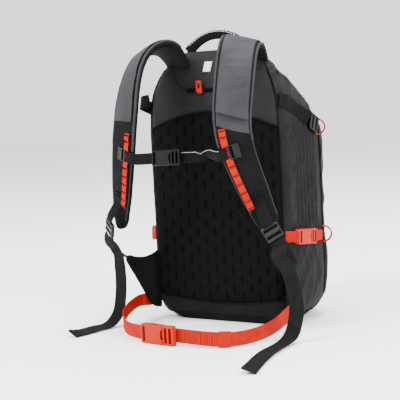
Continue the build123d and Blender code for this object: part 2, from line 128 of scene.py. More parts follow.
def stations(path, across, count):
    """Frames along a curve: rows of place, side, out and along."""
    places, ways = spline(path, count)
    rows = []
    for i, (p, w) in enumerate(zip(places, ways)):
        side = spread(across, i / (count - 1))
        side = unit(side - w * (side @ w))
        rows.append((p, side, np.cross(w, side), w))
    return rows


def level(degrees, drop=0.0):
    """A level direction turned from +X towards +Y, dropped a little."""
    a = math.radians(degrees)
    return vec(math.cos(a), math.sin(a), -drop)


# ---------- meshes
def make_object(name, verts, faces, uvs=None):
    """An object from points in mm. uvs has one pair, in metres, for each face corner."""
    mesh = bpy.data.meshes.new(name)
    mesh.from_pydata([tuple(v * MM) for v in np.asarray(verts, float)], [], faces)
    if uvs is not None:
        layer = mesh.uv_layers.new(name="UVMap")
        layer.data.foreach_set("uv", np.array(uvs, np.float32).ravel())
    mesh.update()
    mesh.polygons.foreach_set("use_smooth", [True] * len(mesh.polygons))
    obj = bpy.data.objects.new(name, mesh)
    bpy.context.scene.collection.objects.link(obj)
    return obj


def grid_mesh(points, wrap=False, caps=False):
    """Points, faces and corner uvs of a grid: first axis across, second along."""
    ni, nj = points.shape[:2]
    closed = np.concatenate([points, points[:1]]) if wrap else points
    u = run_lengths(closed[:, nj // 2]) * MM
    v = run_lengths(closed[len(closed) // 2]) * MM
    faces, uvs = [], []
    for i in range(ni if wrap else ni - 1):
        k = (i + 1) % ni
        for j in range(nj - 1):
            corners = [(i, i, j), (k, i + 1, j), (k, i + 1, j + 1), (i, i, j + 1)]
            faces.append([a * nj + c for a, b, c in corners])
            uvs += [(u[b], v[c]) for a, b, c in corners]
    if caps:
        for j, back in ((0, True), (nj - 1, False)):
            ring = list(range(ni))
            if back:
                ring.reverse()
            faces.append([a * nj + j for a in ring])
            uvs += [(u[a], v[j]) for a in ring]
    return points.reshape(-1, 3), faces, uvs


def join_parts(parts):
    """Several (points, faces, uvs) as one."""
    verts, faces, uvs = [], [], []
    for p, f, t in parts:
        base = sum(len(v) for v in verts)
        verts.append(np.asarray(p, float))
        faces += [[base + i for i in face] for face in f]
        uvs += list(t)
    return np.concatenate(verts), faces, uvs


def sweep(rows, profile):
    """A closed profile along frames. profile(t) gives (x across, y out) points."""
    t = np.linspace(0, 1, len(rows))
    rings = []
    for k, (p, side, out, along) in zip(t, rows):
        rings.append([p + side * x + out * y for x, y in profile(k)])
    return grid_mesh(np.array(rings).transpose(1, 0, 2), wrap=True, caps=True)


def band_profile(width, thick, lift=0.0, edge=0.35):
    """The section of a flat strap, with slightly thinner edges."""
    w, t = width / 2, thick / 2
    half = [(-w, 0.0), (-w + 0.25, t * 0.8), (-w + edge * 2, t)]
    middle = [(x, t) for x in np.linspace(-w * 0.6, w * 0.6, 5)]
    top = half + middle + [(-x, y) for x, y in reversed(half[1:])]
    low = [(-x, -y) for x, y in top]
    return [(x, y + lift) for x, y in top + low]


def ribbon(rows, width, thick=1.6, lift=0.0):
    """A flat strap along frames."""
    return sweep(rows, lambda t: band_profile(width, thick, lift))


def oval(half_width, half_height, sides, power_x=1.0, power_y=1.0):
    """Points round an oval, which is squarer where a power is under 1."""
    pts = []
    for a in np.linspace(0, 2 * math.pi, sides, endpoint=False):
        c, s = math.cos(a), math.sin(a)
        x, y = math.copysign(abs(c) ** power_x, c), math.copysign(abs(s) ** power_y, s)
        pts.append((x * half_width, y * half_height))
    return pts


def tube(points, radius, sides):
    """A round cord along points in mm."""
    p = np.array(points, float)
    ways = np.gradient(p, axis=0)
    side = np.cross(ways[0], vec(0.3, 0.2, 0.93))
    rows = []
    for q, w in zip(p, ways):
        w = unit(w)
        side = unit(side - w * (side @ w))
        rows.append((q, side, np.cross(w, side), w))
    ring = oval(radius, radius, sides)
    return sweep(rows, lambda t: ring)


def stitches(rows, x, lift, pitch=4.6, length=3.0, radius=0.42):
    """A line of stitches at x across a strap, one small thread hump each."""
    p = np.array([r[0] + r[1] * x + r[2] * lift for r in rows])
    s = run_lengths(p)
    parts = []
    for start in np.arange(pitch / 2, s[-1] - length, pitch):
        at = np.linspace(start, start + length, 4)
        pts = np.stack([np.interp(at, s, p[:, k]) for k in range(3)], 1)
        parts.append(tube(pts, radius, 5))
    return join_parts(parts)


def bar_tack(row, width, lift, depth, turns):
    """A block of close zigzag stitching across a strap."""
    p, side, out, along = row
    pts = []
    for k in range(turns * 2 + 1):
        x = -width / 2 + width * k / (turns * 2)
        y = depth / 2 if k % 2 else -depth / 2
        pts.append(p + side * x + along * y + out * lift)
    return tube(pts, 0.3, 5)


# ---------- materials
DIM = 0.4  # the studio is bright enough for a pale floor, so every cloth is dimmed to match


def linear(hexed, bright=1.0):
    """A colour such as "#2B2B2B" as linear red, green and blue, dimmed."""
    parts = [int(hexed[i : i + 2], 16) / 255 for i in (1, 3, 5)]
    parts = [c / 12.92 if c <= 0.04045 else ((c + 0.055) / 1.055) ** 2.4 for c in parts]
    return [min(c * DIM * bright, 1.0) for c in parts]


class Shading:
    """The nodes of one material, with short ways to add to them."""

    def __init__(self, tree, bright):
        self.nodes, self.links, self.bright = tree.nodes, tree.links, bright
        self.shader = tree.nodes["Principled BSDF"]

    def add(self, kind):
        """A new node."""
        return self.nodes.new("ShaderNode" + kind)

    def math(self, kind, a, b=None):
        """A Math node of two inputs, each a socket or a number."""
        node = self.add("Math")
        node.operation = kind
        for i, x in enumerate((a, b)):
            if isinstance(x, (int, float)):
                node.inputs[i].default_value = x
            elif x is not None:
                self.links.new(x, node.inputs[i])
        return node.outputs[0]

    def axes(self, kind):
        """The UV or Object coordinates, in metres, as three sockets."""
        split = self.add("SeparateXYZ")
        self.links.new(self.add("TexCoord").outputs[kind], split.inputs[0])
        return split.outputs

    def noise(self, scale, detail, stretch=(1, 1, 1)):
        """A noise texture in object coordinates."""
        mapping, texture = self.add("Mapping"), self.add("TexNoise")
        mapping.inputs["Scale"].default_value = stretch
        texture.inputs["Scale"].default_value = scale
        texture.inputs["Detail"].default_value = detail
        self.links.new(self.add("TexCoord").outputs["Object"], mapping.inputs["Vector"])
        self.links.new(mapping.outputs["Vector"], texture.inputs["Vector"])
        return texture.outputs["Fac"]

    def bump(self, height, distance):
        """Bump from a height socket, in metres, on top of any bump already there."""
        bump, normal = self.add("Bump"), self.shader.inputs["Normal"]
        bump.inputs["Distance"].default_value = distance
        self.links.new(height, bump.inputs["Height"])
        if normal.is_linked:
            self.links.new(normal.links[0].from_socket, bump.inputs["Normal"])
        self.links.new(bump.outputs["Normal"], normal)

    def tint(self, factor, low, high, start=0.3, end=0.7):
        """Base colour from low to high by a factor socket."""
        ramp = self.add("ValToRGB")
        for stop, place, color in zip(ramp.color_ramp.elements, (start, end), (low, high)):
            stop.position = place
            stop.color = (*linear(color, self.bright), 1)
        self.links.new(factor, ramp.inputs["Fac"])
        self.links.new(ramp.outputs["Color"], self.shader.inputs["Base Color"])

    def wave(self, axis, pitch):
        """A sine of one coordinate."""
        return self.math("SINE", self.math("MULTIPLY", axis, 2 * math.pi / pitch))

    def ridge(self, axis, pitch):
        """1 on thin lines a pitch apart, otherwise 0."""
        return self.math("LESS_THAN", self.math("FRACT", self.math("DIVIDE", axis, pitch)), 0.16)


def new_material(name, color, rough, build=None, bright=1.0, **sockets):
    """A material with one shader. build(m) adds its texture to the Shading m.
    bright scales its colours back up, for what stays vivid in the strong light."""
    material = bpy.data.materials.new(name)
    material.use_nodes = True
    shading = Shading(material.node_tree, bright)
    inputs = shading.shader.inputs
    inputs["Base Color"].default_value = (*linear(color, bright), 1)
    inputs["Roughness"].default_value = rough
    inputs["Specular IOR Level"].default_value = 0.05
    for key, value in sockets.items():
        inputs[key.replace("_", " ")].default_value = value
    if build:
        build(shading)
    return material


def weave(pitch, depth, low, high, patches=22.0, rip=0.0):
    """Plain woven cloth: two sets of threads, and a ripstop grid when rip is set."""

    def build(m):
        u, v, _ = m.axes("UV")
        threads = m.math("MULTIPLY", m.wave(u, pitch), m.wave(v, pitch))
        m.tint(m.noise(patches, 4.0), low, high)
        m.bump(threads, depth)
        if rip:
            m.bump(m.math("MAXIMUM", m.ridge(u, rip), m.ridge(v, rip)), depth * 3)
        m.bump(m.noise(90, 5.0), 0.0006)

    return build


def ribbed(pitch, depth, low, high):
    """Webbing: cords along its length with a fine cross weave."""

    def build(m):
        u, v, _ = m.axes("UV")
        cords = m.math("MULTIPLY", m.wave(u, pitch * 2.2), 0.5)
        m.tint(m.noise(60, 4.0), low, high)
        m.bump(m.math("ADD", m.wave(v, pitch), cords), depth)

    return build


def net(low, high):
    """Spacer mesh: a fine net with staggered long openings, with painted shade in the openings and in the
    gaps between its threads.
    """

    def squared(m, axis, pitch, shift, size):
        """The square of the distance from an opening's middle, in its half sizes."""
        place = m.math("FRACT", m.math("ADD", m.math("DIVIDE", axis, pitch), shift))
        return m.math("POWER", m.math("DIVIDE", m.math("SUBTRACT", place, 0.5), size), 2.0)

    def build(m):
        u, _, v = m.axes("Object")
        holes = []
        for shift in (0.0, 0.5):
            across = squared(m, u, HOLE_ACROSS * MM, shift, 0.085)
            up = squared(m, v, HOLE_UP * MM, shift, 0.27)
            holes.append(m.math("LESS_THAN", m.math("ADD", across, up), 1.0))
        solid = m.math("SUBTRACT", 1.0, m.math("MAXIMUM", *holes))
        cells = m.math("MULTIPLY", m.wave(u, 0.0026), m.wave(v, 0.0026))
        # painted shade: the openings and the gaps between the threads take the low colour
        shade = m.math("MULTIPLY", m.math("GREATER_THAN", cells, 0.15), solid)
        m.tint(shade, low, high, 0.0, 1.0)
        m.bump(cells, 0.0004)
        m.bump(solid, 0.0012)

    return build


def moulded(low, high):
    """Injection-moulded plastic with a fine grain and faint colour change."""

    def build(m):
        m.tint(m.noise(35, 3.0), low, high)
        m.bump(m.noise(900, 2.0), 0.00006)

    return build


def brushed(low, high):
    """Machined metal with fine marks."""

    def build(m):
        m.tint(m.noise(40, 3.0), low, high)
        m.bump(m.noise(400, 2.0, (1, 1, 0.05)), 0.00004)

    return build


# the mesh's low colour is painted shade in its openings and between its threads
MESH = new_material("spacer_mesh", "#1a1a1a", 0.8, net("#050505", "#1d1d1d"))
YOKE = new_material("yoke_cloth", "#303030", 0.62, weave(0.0011, 0.00005, "#2c2c2c", "#363636"))
BAND = new_material("band_cloth", "#202020", 0.72, weave(0.0011, 0.00006, "#1c1c1c", "#252525"))
RIPSTOP = new_material(
    "ripstop", "#2b2b2c", 0.55, weave(0.0009, 0.00005, "#252526", "#303031", 18.0, 0.005)
)
BLACK = new_material("black_cloth", "#161616", 0.7, weave(0.0011, 0.00006, "#121212", "#1a1a1a"))
TAIL = new_material("dark_webbing", "#232323", 0.75, ribbed(0.0017, 0.00025, "#1e1e1e", "#282828"))
STRAP = new_material("black_webbing", "#181818", 0.6, ribbed(0.0016, 0.0002, "#131313", "#1c1c1c"))
GREY = new_material("cover_cloth", "#4f4d52", 0.6, weave(0.0009, 0.00004, "#47454a", "#545257"))
FOAM = new_material("pad_cloth", "#1a1a1a", 0.7, weave(0.0011, 0.00007, "#151515", "#1f1f1f"))
PIPING = new_material("grey_piping", "#4a4a4c", 0.55, weave(0.0008, 0.00006, "#424244", "#525254"))
THREAD = new_material("thread", "#e0e0e0", 0.6, moulded("#d6d6d6", "#ececec"), 1.6)
RED = new_material("red_webbing", "#EA2410", 0.62, ribbed(0.0017, 0.00022, "#e01c0a", "#f02c16"), 1.05)
RED_PLASTIC = new_material(
    "red_plastic", "#EA2612", 0.36, moulded("#e2200e", "#f02c18"), 1.05, Specular_IOR_Level=0.12
)
# the darker red is partly the thread's own colour and partly painted shade between the belt's ribs
RED_THREAD_RIB_SHADE = new_material("red_thread_rib_shade", "#9A1A0C", 0.6, moulded("#8c160a", "#a61e10"))
BLACK_PLASTIC = new_material(
    "black_plastic", "#121212", 0.26, moulded("#0e0e0e", "#161616"), Specular_IOR_Level=0.22
)
LABEL = new_material("label_cloth", "#f4f4f2", 0.7, weave(0.0006, 0.00004, "#f0f0ee", "#f8f8f6"), 1.8)
COIL = new_material("zip_coil", "#121212", 0.45, moulded("#0d0d0d", "#171717"))
SHEET = new_material("pe_sheet", "#202226", 0.5, moulded("#1c1e22", "#26282c"))
AIRBAG = new_material("airbag_cloth", "#C8281E", 0.5, weave(0.0008, 0.00005, "#bd2218", "#cf3025"))
PAINT = new_material("cylinder_paint", "#B8BCC0", 0.3, moulded("#aeb2b6", "#bfc3c7"), Metallic=0.3)
ALLOY = new_material("inflator_alloy", "#A9ACB0", 0.4, brushed("#a0a3a7", "#b0b3b7"), Metallic=1.0)
STEEL = new_material("lever_steel", "#8E9094", 0.35, brushed("#85878b", "#96989c"), Metallic=1.0)


def piece(name, parts, material, nodes=(), body="pack"):
    """Makes a visual object that rides on a body and stands for CAD nodes."""
    obj = make_object(name, *parts)
    obj.data.materials.append(material)
    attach(obj, body)
    if nodes:
        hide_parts(*nodes)
    return obj


def flipped(parts):
    """A mirror image of (points, faces, uvs)."""
    verts, faces, uvs = parts
    out, at = [], 0
    for face in faces:
        out += list(reversed(uvs[at : at + len(face)]))
        at += len(face)
    return mirrored(verts), [list(reversed(f)) for f in faces], out


def sided(sign):
    """A side's name, and what turns parts made for the right into its own."""
    return ("right", lambda parts: parts) if sign > 0 else ("left", flipped)


# ---------- bag shape
# height, back half width, front half width, back y, front y, back radius, front radius
SECTIONS = vec(
    (0, 126, 112, -70, 70, 40, 60),
    (18, 139, 136, -82, 88, 34, 70),
    (40, 143, 159, -86, 98, 30, 76),
    (62, 143, 166, -86, 102, 28, 80),
    (95, 143, 169, -86, 104, 28, 80),
    (140, 143, 166, -86, 104, 28, 80),
    (225, 143, 165, -86, 104, 28, 80),
    (310, 143, 166, -86, 104, 28, 80),
    (350, 143, 164, -86, 102, 28, 80),
    (370, 142, 159, -86, 96, 28, 80),
    (390, 142, 147, -86, 83, 28, 80),
    (410, 141, 135, -86, 63, 28, 78),
    (430, 138, 125, -84, 39, 28, 72),
    (450, 129, 116, -80, 11, 26, 52),
    (470, 115, 101, -72, -20, 16, 26),
    (486, 94, 86, -63, -36, 9, 13),
    (500, 68, 66, -54, -42, 4, 5),
)
BAG_HEIGHT, LEVEL_STEP = 500, 2
LEVELS = np.arange(0, BAG_HEIGHT + LEVEL_STEP, LEVEL_STEP)
SMOOTH = smoothed(np.stack([np.interp(LEVELS, SECTIONS[:, 0], k) for k in SECTIONS.T[1:]], 1), 14)
BACK_CORNER, SIDE_FRONT, FRONT_MIDDLE = 1.5, 3.18, 5  # along half an outline, where panels meet
BOTTOM_SEAM, BASE_SEAM = 14, 150  # heights of the lowest seam and of the front base's top
ZIP_HEIGHT = 300  # the front pocket's zip
CLOTH, PAD_CLOTH = 2.4, 5  # depths of the panels
HANDLE_Y = -48  # the ridge that carries the haul handle


def on_bag(s, z):
    """A point of the bag at height z. s is 0 at the back's middle and 5 at the front's."""
    sign, s = (-1, -s) if s < 0 else (1, s)
    i = min(max(z, 0) / LEVEL_STEP, len(LEVELS) - 1.001)
    k = int(i)
    back, front, yb, yf, rb, rf = SMOOTH[k] * (1 - i + k) + SMOOTH[k + 1] * (i - k)
    turn = math.atan2(yf - yb, front - back)
    d = vec(math.cos(turn), math.sin(turn))
    t1, t2 = rb * math.tan(turn / 2), rf * math.tan((math.pi - turn) / 2)
    if s < 1:
        x, y = (back - t1) * s, yb
    elif s < 2:
        a = -math.pi / 2 + turn * (s - 1)
        x, y = back - t1 + rb * math.cos(a), yb + rb + rb * math.sin(a)
    elif s < 3:
        lo, hi = vec(back, yb) + d * t1, vec(front, yf) - d * t2
        x, y = lo + (hi - lo) * (s - 2)
    elif s < 4:
        a0 = -math.pi / 2 + turn
        a = a0 + (math.pi / 2 - a0) * (s - 3)
        x, y = front - t2 + rf * math.cos(a), yf - rf + rf * math.sin(a)
    else:
        x, y = (front - t2) * (FRONT_MIDDLE - s), yf
    return vec(sign * x, y, z)


def arch(middle, edge, x):
    """The height of a seam that arches across the back."""
    return middle + (edge - middle) * (x / 150) ** 2


def band_seam(s):
    """Where the band at the bottom of the back ends."""
    return arch(38, 52, on_bag(s, 60)[0])


def arch_seam(s):
    """Where the mesh panel ends and the yoke begins."""
    return arch(390, 352, on_bag(s, 370)[0])


def top_seam(s):
    """Where the top cover meets the panels below it."""
    return 428 - 0.346 * (on_bag(s, 380)[1] + 120)


def grid_normals(p):
    """Unit normals of a grid of points."""
    n = np.cross(np.gradient(p, axis=0), np.gradient(p, axis=1))
    return n / np.maximum(np.linalg.norm(n, axis=2, keepdims=True), 1e-9)


def panel_points(s_values, low, high, count, height):
    """A panel's surface: s across, from its low seam to its high seam."""
    p = np.array([[on_bag(s, z) for z in np.linspace(low(s), high(s), count)] for s in s_values])
    n = grid_normals(p)
    for i, s in enumerate(s_values):
        for j in range(count):
            p[i, j] += n[i, j] * height(p[i, j], s, i / (len(s_values) - 1), j / (count - 1))
    return p


def pillow(t, sharp):
    """0 at both ends of a panel and 1 over most of it."""
    return 1 - abs(2 * t - 1) ** sharp


def thick(points, depth):
    """A panel with an inner face, so that it is a closed piece of cloth."""
    inner = points - grid_normals(points) * depth
    both = np.concatenate([points, inner[::-1]])
    verts, faces, uvs = grid_mesh(both, wrap=True)
    ni, nj = both.shape[:2]
    half = ni // 2
    for j, back in ((0, True), (nj - 1, False)):
        for i in range(half - 1):
            ring = [i, i + 1, ni - 2 - i, ni - 1 - i]
            if back:
                ring.reverse()
            faces.append([a * nj + j for a in ring])
            uvs += [(0.0, 0.0)] * 4
    return verts, faces, uvs


def dimples(x, z):
    """How deep the mesh's long openings are at a place on the back."""
    deep = 0.0
    for shift in (0.0, 0.5):
        a = (x / HOLE_ACROSS + shift) % 1 - 0.5
        b = (z / HOLE_UP + shift) % 1 - 0.5
        deep = max(deep, 1 - (a / 0.1) ** 2 - (b / 0.3) ** 2)
    return deep


def back_height(p, s, a, b):
    """The foam of the back pad, fuller in the middle, with a centre channel."""
    full = 4.5 * pillow(a, 8) * pillow(b, 10)
    channel = 1.6 * math.exp(-((p[0] / 26) ** 2)) * pillow(b, 4)
    return full - channel + 0.5 * lumps(p, 60)


def yoke_height(p, s, a, b):
    """The smooth yoke, with broad soft swells."""
    swell = 1.2 * lumps(p, 70, 3) + 0.8 * creases(p, (1, 0, 0.35), 120, 34, 5)
    return 1.5 * pillow(a, 6) * pillow(b, 8) + swell * pillow(b, 6)


def band_height(p, s, a, b):
    """The plain band below the mesh."""
    return 1.5 * pillow(b, 4) + 0.5 * lumps(p, 50, 2)


def side_height(p, s, a, b):
    """Side cloth with diagonal wrinkles and gathers at its front edge."""
    edge = pillow(a, 6) * pillow(b, 10)
    wrinkle = 1.0 * creases(p, (0, 0.5, 0.85), 120, 26, 7) + 0.5 * creases(p, (0, -0.3, 0.95), 80, 17, 2)
    soft = 1.8 * lumps(p, 75, 9)
    fade = min(1, (abs(s) - 2.1) / 0.15, (3.1 - abs(s)) / 0.1, (p[2] - 165) / 25, (390 - p[2]) / 25)
    ribs = 1.5 * math.sin(abs(s) * 42) * max(fade, 0)
    return (1.5 + wrinkle + soft) * edge + ribs * edge


def top_height(p, s, a, b):
    """The top cover, loose over the folded airbag."""
    wrinkle = 1.6 * creases(p, (0.7, 0.5, 0.5), 90, 28, 4) + 1.6 * lumps(p, 60, 6)
    return (1.5 + wrinkle) * pillow(b, 8)


def front_height(p, s, a, b):
    """The front panels, which lie flat round the pocket's zip."""
    wrinkle = 1.4 * creases(p, (0.5, 0, 0.8), 100, 30, 11) + 1.8 * lumps(p, 85, 12)
    from_zip = max(abs(p[2] - ZIP_HEIGHT) - 7, abs(p[0]) - 70, 0) if p[1] > 90 else 20
    return (2.0 + wrinkle) * pillow(b, 10) * min(1, from_zip / 16)


def up_to_ridge(panel):
    """A panel with one more row, on the ridge under the haul handle."""
    return np.concatenate([panel, panel[:, -1:] * vec(0.97, 0, 1) + vec(0, HANDLE_Y, 1.2)], axis=1)


def round_front(start, count):
    """Places from a seam on the right, round the front, to the same seam on the left."""
    right = np.linspace(start, FRONT_MIDDLE, count)
    return np.concatenate([right, -right[-2::-1]])


def build_back():
    """The mesh back pad, the yoke above it and the band below it."""
    s_back = np.linspace(-BACK_CORNER, BACK_CORNER, 141)
    pad = panel_points(s_back, band_seam, arch_seam, 150, back_height)
    n = grid_normals(pad)
    for i, j in np.ndindex(pad.shape[:2]):
        x, _, z = pad[i, j]
        if abs(x) < 136:
            pad[i, j] -= n[i, j] * 1.3 * dimples(x, z)
    obj = piece("back_pad_cloth", thick(pad, PAD_CLOTH), MESH, ["back_pad"])
    yoke = up_to_ridge(panel_points(s_back, arch_seam, lambda s: BAG_HEIGHT, 90, yoke_height))
    piece("yoke_cloth_panel", thick(yoke, CLOTH), YOKE, ["yoke_panel"])
    band = panel_points(s_back, lambda s: BOTTOM_SEAM, band_seam, 26, band_height)
    piece("back_band_cloth", thick(band, CLOTH), BAND, ["back_band"])


def build_side(sign):
    """One grey side panel, with wrinkles of its own."""
    side, _ = sided(sign)
    values = np.linspace(BACK_CORNER, SIDE_FRONT, 90)[::sign] * sign
    seed = 0 if sign > 0 else 400
    pts = panel_points(
        values, lambda s: BOTTOM_SEAM, top_seam, 170, lambda p, s, a, b: side_height(p + seed, abs(s), a, b)
    )
    piece(f"side_cloth_{side}", thick(pts, CLOTH), RIPSTOP, [f"side_panel_{side}"])


def build_front():
    """The dark base, the pocket panel, the top cover and the bottom."""
    s_front, s_top = round_front(SIDE_FRONT, 60), round_front(BACK_CORNER, 100)
    base = panel_points(s_front, lambda s: BOTTOM_SEAM, lambda s: BASE_SEAM, 50, front_height)
    piece("front_base_cloth", thick(base, CLOTH), BLACK, ["front_base"])
    pocket = panel_points(s_front, lambda s: BASE_SEAM, top_seam, 90, front_height)
    piece("front_pocket_cloth", thick(pocket, CLOTH), RIPSTOP, ["front_pocket"])
    top = up_to_ridge(panel_points(s_top, top_seam, lambda s: BAG_HEIGHT, 70, top_height))
    piece("top_cover_cloth", thick(top, CLOTH), RIPSTOP, ["top_cover"])

    s_all = np.linspace(FRONT_MIDDLE, -FRONT_MIDDLE, 200)
    rings = []
    for z, scale in ((BOTTOM_SEAM, 1), (9, 1), (4, 0.995), (1, 0.985), (0, 0.96), (0, 0.6), (0, 0.05)):
        rings.append([on_bag(s, z) * vec(scale, scale, 1) for s in s_all])
    bottom = grid_mesh(np.array(rings).transpose(1, 0, 2))
    piece("bottom_cloth", bottom, BLACK, ["bottom_panel"])


def bag_line(s_values, z_values, lift):
    """A line on the bag's surface."""
    pts = []
    for s, z in zip(s_values, z_values):
        p, q = on_bag(s, z), on_bag(s + 0.01, z)
        up = on_bag(s, min(z + 2, BAG_HEIGHT)) - p
        n = np.cross(q - p, up)
        pts.append(p + unit(n) * lift)
    return pts


def build_seams():
    """Piping between panels, and the two curved welts on the yoke."""
    s_back = np.linspace(-BACK_CORNER, BACK_CORNER, 80)
    s_all = np.linspace(-FRONT_MIDDLE, FRONT_MIDDLE, 220)
    lines = [  # places along the outline, heights, lift and radius
        (s_back, [arch_seam(s) for s in s_back], 1.2, 1.5),
        (s_back, [band_seam(s) for s in s_back], 1.0, 1.3),
    ]
    for sign in (1, -1):
        s_top = sign * np.linspace(BACK_CORNER, FRONT_MIDDLE, 90)
        s_base = sign * np.linspace(SIDE_FRONT, FRONT_MIDDLE, 50)
        lines += [
            ([sign * BACK_CORNER] * 120, np.linspace(BOTTOM_SEAM, 470, 120), 1.0, 1.5),
            ([sign * SIDE_FRONT] * 100, np.linspace(BOTTOM_SEAM, 372, 100), 0.8, 1.2),
            (s_top, [top_seam(s) for s in s_top], 0.8, 1.2),
            (s_base, [BASE_SEAM] * 50, 0.8, 1.2),
        ]
    lines.append((s_all, [BOTTOM_SEAM] * 220, 0.6, 1.3))
    piping = [tube(bag_line(s, z, lift), radius, 6) for s, z, lift, radius in lines]
    piece("bag_piping", join_parts(piping), BLACK)

    xs, zs = (139, 122, 104, 88, 72, 56, 46), (446, 454, 461, 460, 446, 432, 429)
    welts = []
    for sign in (1, -1):
        s = [sign * s_of_x(x, z) for x, z in zip(xs, zs)]
        welts.append(tube(spline(bag_line(s, zs, 1.9), 60)[0], 1.3, 6))
    piece("yoke_seams", join_parts(welts), YOKE)


def s_of_x(x, z):
    """Where on the back's half outline x lies, at height z."""
    values = np.linspace(0, 2, 81)
    xs = [on_bag(s, z)[0] for s in values]
    return float(np.interp(x, xs, values))


# ---------- shoulder straps
RIGHT_SHOULDER = [
    (74, -58, 458), (78, -72, 486), (84, -92, 505), (92, -118, 509), (102, -147, 497),
    (110, -173, 464), (113, -191, 415), (114, -198, 365), (121, -193, 318), (134, -180, 266),
    (147, -166, 218), (156, -156, 184),
]
LEFT_SHOULDER = [  # before it is mirrored
    (74, -58, 458), (78, -72, 486), (83, -92, 505), (89, -118, 509), (97, -147, 497),
    (103, -173, 464), (106, -191, 415), (110, -198, 365), (121, -193, 318), (137, -180, 266),
    (152, -167, 218), (162, -159, 184),
]
COVER_WIDTH = 54
RIGHT_TURNS, LEFT_TURNS = [30, 30, 30, 30, 32, 38, 45], [30, 30, 28, 20, 17, 18, 22]
DROPS = [0.22, 0.26, 0.16, 0, 0, 0, 0]
WIDTHS = [68, 68, 67, 65, 59, 51, 37]
PAD = 13.0  # thickness
PAD_START = 0.04  # the share of the pad that is out of sight in the bag


def shoulder_rows(path, turns):
    """Fine stations down one pad, four for each of the CAD's 36."""
    return stations(path, [level(a, d) for a, d in zip(turns, DROPS)], 145)


SHOULDERS = {1: shoulder_rows(RIGHT_SHOULDER, RIGHT_TURNS), -1: shoulder_rows(LEFT_SHOULDER, LEFT_TURNS)}


def over_pad(sign, station, across, out):
    """A point over a pad's face, before mirroring."""
    p, side, up, _ = SHOULDERS[sign][int(round(station * 4))]
    return p + side * across + up * (PAD / 2 + out)


def pad_profile(t):
    """The section of a shoulder pad: flat faces and a round, pinched edge."""
    end = min(1.0, (1 - t) / 0.045) ** 0.5
    half = spread(WIDTHS, t) / 2 * (0.35 + 0.65 * end)
    return oval(-half, PAD / 2, 44, 0.42, 0.55)


def pad_lump(p, sign):
    """How far the foam under a pad's cloth moves a point."""
    return vec(0, -0.6, 0.3) * lumps(p + 300 * sign, 28, 5)


def build_shoulder(sign):
    """One pad with its cover, piping, stitching and daisy chain."""
    side, turn = sided(sign)
    rows = SHOULDERS[sign][6:]
    shares = PAD_START + (1 - PAD_START) * np.linspace(0, 1, len(rows))
    verts, faces, uvs = sweep(rows, lambda t: pad_profile(PAD_START + (1 - PAD_START) * t))
    verts = np.array([v + pad_lump(v, sign) for v in verts])
    cloth = turn((verts, faces, uvs))
    pad = piece(f"shoulder_{side}_cloth", cloth, FOAM, [f"shoulder_pad_{side}"])
    welts = []
    for edge in (-1, 1):
        pts = [
            p + s * edge * (spread(WIDTHS, share) / 2 - 1.4) + o * 3.2
            for share, (p, s, o, _) in zip(shares, rows)
        ]
        upper, lower = pts[12:88], pts[86 : int(len(pts) * 0.95)]
        welts += [tube(upper, 2.3, 10), tube(lower, 1.3, 8)]
    piece(f"shoulder_{side}_piping", turn(join_parts(welts)), PIPING)
    build_cover(sign)
    build_daisy(sign)


def cover_points(rows, first, last, lift, slants=(0.0, 0.0), bulge=0.0, pocket=None, soft=True):
    """The outer surface of a pad cover between two stations, whose edges may slant."""
    pts = []
    for x in np.linspace(-1, 1, 41):
        line = []
        for k in np.linspace((first + slants[0] * x) * 4, (last + slants[1] * x) * 4, 120):
            i = int(k)
            here, following = rows[i], rows[min(i + 1, len(rows) - 1)]
            p, s, o = [a * (1 - k + i) + b * (k - i) for a, b in zip(here[:3], following[:3])]
            up = lift + bulge * (1 - abs(x) ** 3)
            if pocket:
                start, full = pocket
                t = min(max((k / 4 - start) / (full - start), 0), 1)
                up += 9.6 * (t * t * (3 - 2 * t)) * (1 - abs(x) ** 2.2)
            q = p + s * x * COVER_WIDTH / 2 + o * up
            if soft:
                q = q + o * (0.35 * creases(q, (0.87, 0.5, 0.1), 60, 16, 3) + 0.3 * lumps(q, 40))
            else:
                q = q + pad_lump(q, 1)
            line.append(q)
        pts.append(line)
    return np.array(pts)


def build_cover(sign):
    """The grey upper cover, which on the right holds the airbag's pull handle."""
    side, turn = sided(sign)
    rows = SHOULDERS[sign]
    slants, pocket = ((0.0, 0.55), (9.5, 15)) if sign > 0 else ((0.0, 0.0), None)
    cover = cover_points(rows, 4.6, 19.5, PAD / 2 + 0.7, slants, 0.9, pocket)
    parts = [thick(cover, 1.0)]
    if sign > 0:
        below = cover_points(rows, 19.3, 21.4, PAD / 2 + 0.35, (0.55, 0.8), soft=False)
        parts.append(thick(below, 0.6))
    piece(f"cover_{side}_cloth", turn(join_parts(parts)), GREY, [f"pad_cover_{side}"])
    hem = tube(cover[:, -1] + vec(0, -0.4, 0), 1.1, 6)
    piece(f"cover_{side}_hem", turn(hem), PIPING)


def build_daisy(sign):
    """Red webbing sewn down the pad, standing up in small loops between bar tacks."""
    side, turn = sided(sign)
    span = SHOULDERS[sign][84:129]
    loops, anchor_at = 9, 0.27  # the sternum anchor presses the webbing down there
    rows = []
    for k, (p, s, o, a) in zip(np.linspace(0, 1, len(span)), span):
        stand = 1.8 * abs(math.sin(math.pi * k * loops)) ** 0.8
        lift = 2.0 + stand - 1.9 * math.exp(-(((k - anchor_at) / 0.06) ** 2))
        rows.append((p + s * (2 * k - 19) + o * (PAD / 2 + max(lift, 0.7)), s, o, a))
    web = sweep(rows, lambda t: band_profile(12 - t / 2, 1.3))
    tacks = []
    for k in range(loops + 1):
        i = min(max(int(k / loops * (len(rows) - 1)), 1), len(rows) - 2)
        tacks.append(bar_tack(rows[i], 10.5, 0.9, 3.2, 7))
    piece(f"daisy_{side}_web", turn(web), RED, [f"daisy_chain_{side}"])
    piece(f"daisy_{side}_tacks", turn(join_parts(tacks)), BLACK)


